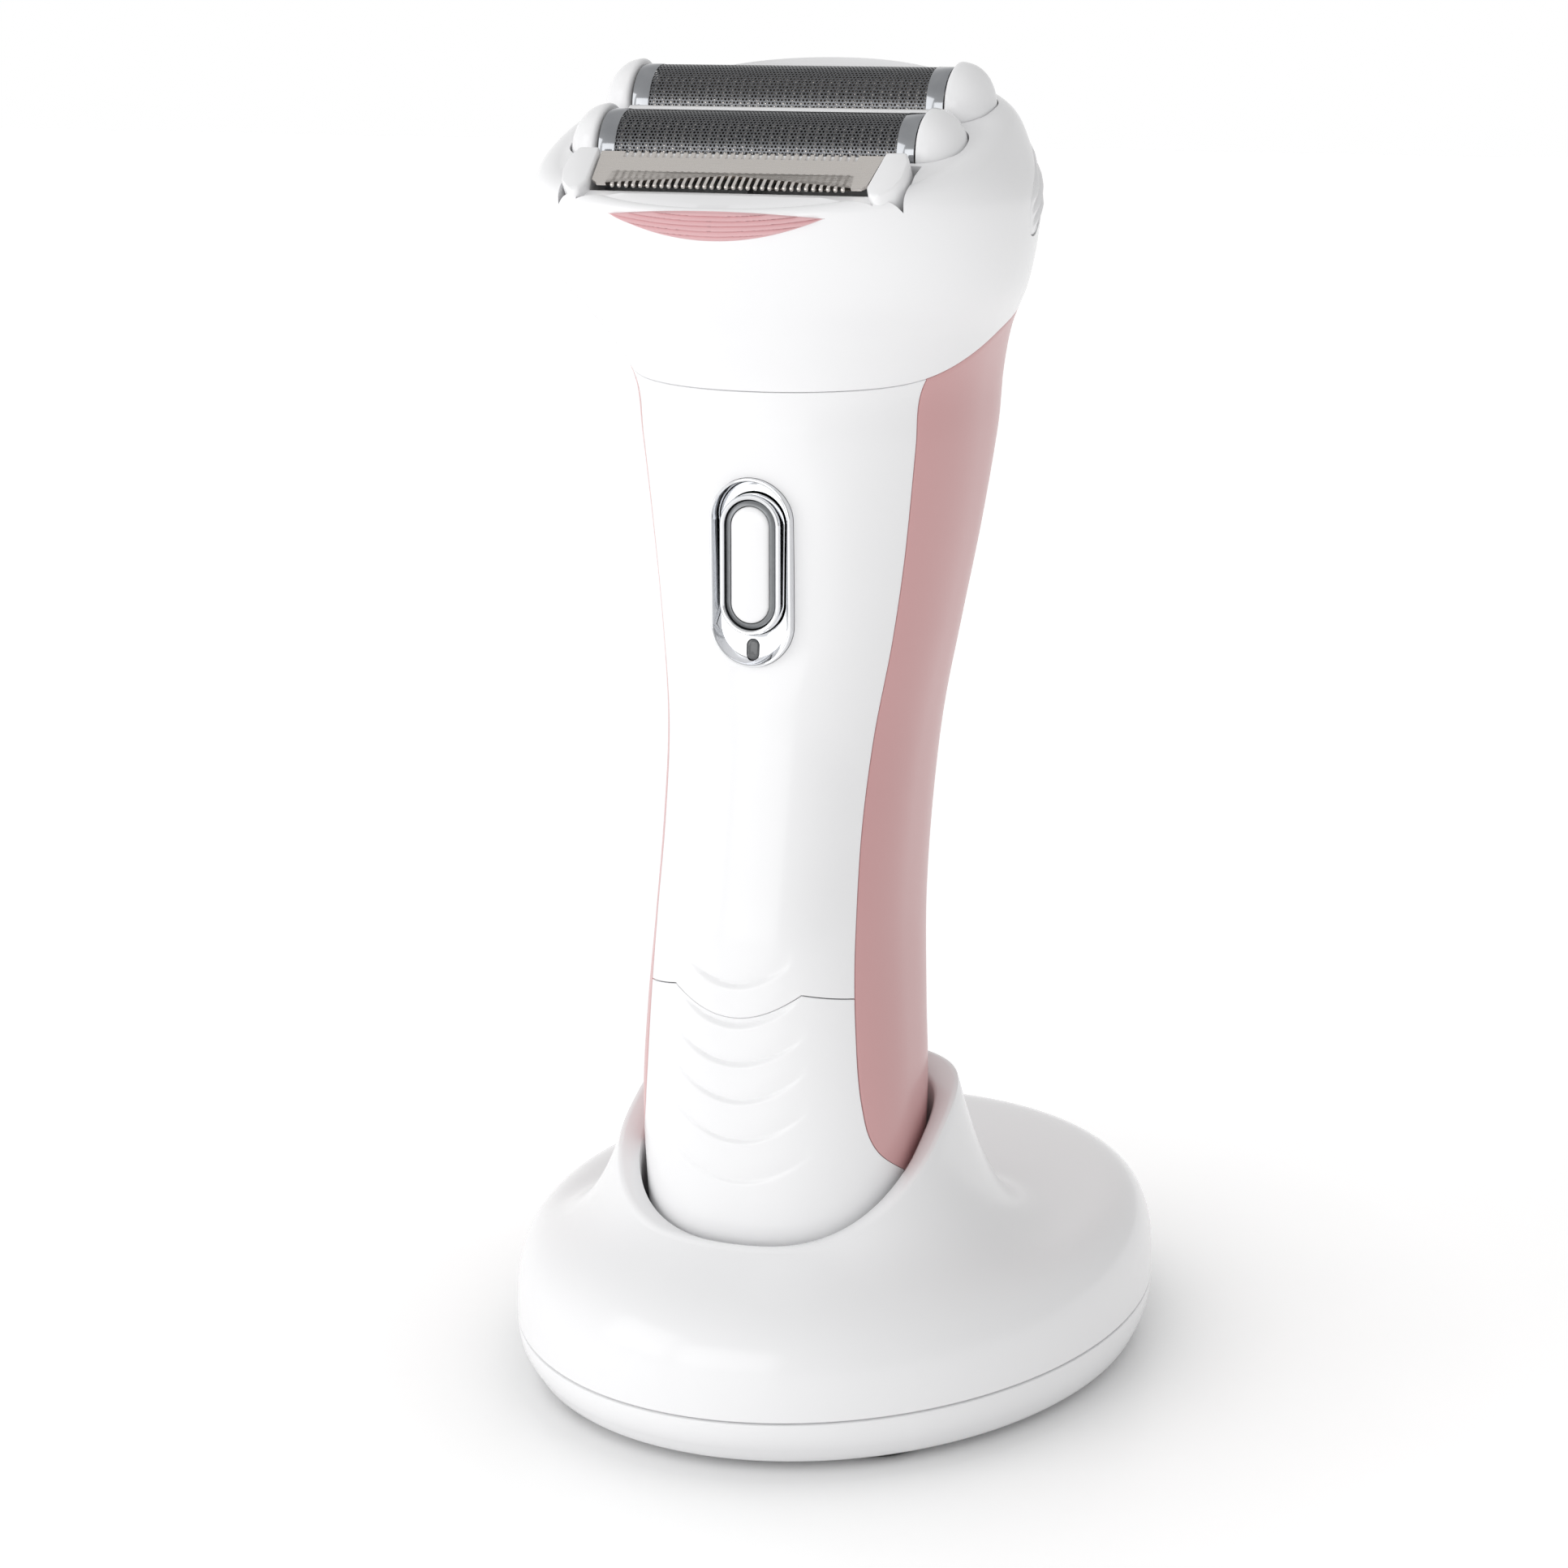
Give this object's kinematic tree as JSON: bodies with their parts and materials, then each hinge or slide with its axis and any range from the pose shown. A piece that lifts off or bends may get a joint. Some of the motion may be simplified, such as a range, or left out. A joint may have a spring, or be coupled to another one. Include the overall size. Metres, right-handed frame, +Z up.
{
  "type": "electric foil shaver with charging stand",
  "caption": "Upright wet and dry body shaver with two foils, a trimmer comb and a flared head, standing in an oval charging stand.",
  "frame": {"origin": "centre of the stand's footprint, on the surface it stands on", "axes": "+Z up, the shaver's front with its power button faces -Y, +X to the right seen from the front"},
  "size_m": [0.082, 0.108, 0.1694],
  "materials": {
    "white_abs": "polished moulding",
    "pink_abs": "satin moulding",
    "grey_abs": "moulded",
    "rubber": "matt",
    "chrome": "plated",
    "steel": "ground",
    "foil_steel": "perforated",
    "contact_metal": "plated",
    "circuit_board": "lacquered",
    "cell_wrap": "shrink wrap",
    "lamp_lens": "clear tinted"
  },
  "bodies": {
    "stand": {"stand_shell": "white_abs", "stand_base_plate": "white_abs", "stand_foot_1": "rubber", "stand_foot_2": "rubber", "stand_foot_3": "rubber", "stand_foot_4": "rubber", "stand_screw_1": "steel", "stand_screw_2": "steel", "stand_screw_3": "steel", "stand_screw_4": "steel", "stand_charge_board": "circuit_board", "stand_contact_left": "contact_metal", "stand_contact_right": "contact_metal", "stand_power_inlet": "grey_abs"},
    "shaver": {"front_cover": "white_abs", "lower_cover": "white_abs", "rear_housing": "pink_abs", "neck_plate": "grey_abs", "inner_chassis": "grey_abs", "battery_cell": "cell_wrap", "drive_motor": "steel", "shaft_seal": "rubber", "bridge_guide_rod": "steel", "control_board": "circuit_board", "power_switch": "grey_abs", "charge_lamp": "lamp_lens", "charge_lens": "lamp_lens", "button_bezel": "chrome", "charge_contact_left": "contact_metal", "charge_contact_right": "contact_metal"},
    "power_button": {"button_pad": "white_abs", "button_trim": "grey_abs", "button_ring": "chrome"},
    "motor_shaft": {"motor_shaft": "steel", "eccentric": "grey_abs"},
    "drive": {"drive_bridge": "grey_abs"},
    "head": {"head_housing": "white_abs", "lotion_strip": "pink_abs", "foil_divider": "white_abs"},
    "release_left": {"release_button_left": "white_abs"},
    "release_right": {"release_button_right": "white_abs"},
    "front_foil": {"front_foil_frame": "white_abs", "front_foil": "foil_steel"},
    "rear_foil": {"rear_foil_frame": "white_abs", "rear_foil": "foil_steel"},
    "front_cutter": {"front_cutter": "steel"},
    "rear_cutter": {"rear_cutter": "steel"},
    "trimmer": {"trimmer_frame": "white_abs", "trimmer_comb": "steel"},
    "trimmer_blade": {"trimmer_blade": "steel"}
  },
  "joints": [
    {"name": "shaver_lift", "type": "slide", "parent": "stand", "child": "shaver", "axis": [0, 0, 1], "range_m": [0, 0.08]},
    {"name": "power_button_press", "type": "slide", "parent": "shaver", "child": "power_button", "axis": [0, 1, 0], "range_m": [0, 0.0008], "stiffness_N_per_m": 900, "springref_m": -0.0003},
    {"name": "motor_spin", "type": "hinge", "parent": "shaver", "child": "motor_shaft", "pos_m": [0, -0.014, 0.13], "axis": [0, 0, 1], "continuous": true},
    {"name": "drive_stroke", "type": "slide", "parent": "shaver", "child": "drive", "axis": [1, 0, 0], "range_m": [-0.0012, 0.0012], "stiffness_N_per_m": 1500},
    {"name": "head_lift", "type": "slide", "parent": "shaver", "child": "head", "axis": [0, -0.4274, 0.9041], "range_m": [0, 0.03]},
    {"name": "release_left_press", "type": "slide", "parent": "head", "child": "release_left", "axis": [1, 0, 0], "range_m": [0, 0.0015], "stiffness_N_per_m": 600, "springref_m": -0.0004},
    {"name": "release_right_press", "type": "slide", "parent": "head", "child": "release_right", "axis": [-1, 0, 0], "range_m": [0, 0.0015], "stiffness_N_per_m": 600, "springref_m": -0.0004},
    {"name": "front_foil_float", "type": "slide", "parent": "head", "child": "front_foil", "axis": [0, 0.4274, -0.9041], "range_m": [0, 0.0012], "stiffness_N_per_m": 1200, "springref_m": -0.0005},
    {"name": "rear_foil_float", "type": "slide", "parent": "head", "child": "rear_foil", "axis": [0, 0.4274, -0.9041], "range_m": [0, 0.0012], "stiffness_N_per_m": 1200, "springref_m": -0.0005},
    {"name": "trimmer_float", "type": "slide", "parent": "head", "child": "trimmer", "axis": [0, 0.5736, -0.8191], "range_m": [0, 0.0008], "stiffness_N_per_m": 1200, "springref_m": -0.0005},
    {"name": "front_cutter_stroke", "type": "slide", "parent": "front_foil", "child": "front_cutter", "axis": [1, 0, 0], "range_m": [-0.0012, 0.0012]},
    {"name": "rear_cutter_stroke", "type": "slide", "parent": "rear_foil", "child": "rear_cutter", "axis": [1, 0, 0], "range_m": [-0.0012, 0.0012]},
    {"name": "trimmer_blade_stroke", "type": "slide", "parent": "trimmer", "child": "trimmer_blade", "axis": [1, 0, 0], "range_m": [-0.0012, 0.0012]}
  ],
  "couplings": [
    {"joint": "front_cutter_stroke", "follows": "drive_stroke", "ratio": 1},
    {"joint": "rear_cutter_stroke", "follows": "drive_stroke", "ratio": 1},
    {"joint": "trimmer_blade_stroke", "follows": "drive_stroke", "ratio": 1}
  ]
}
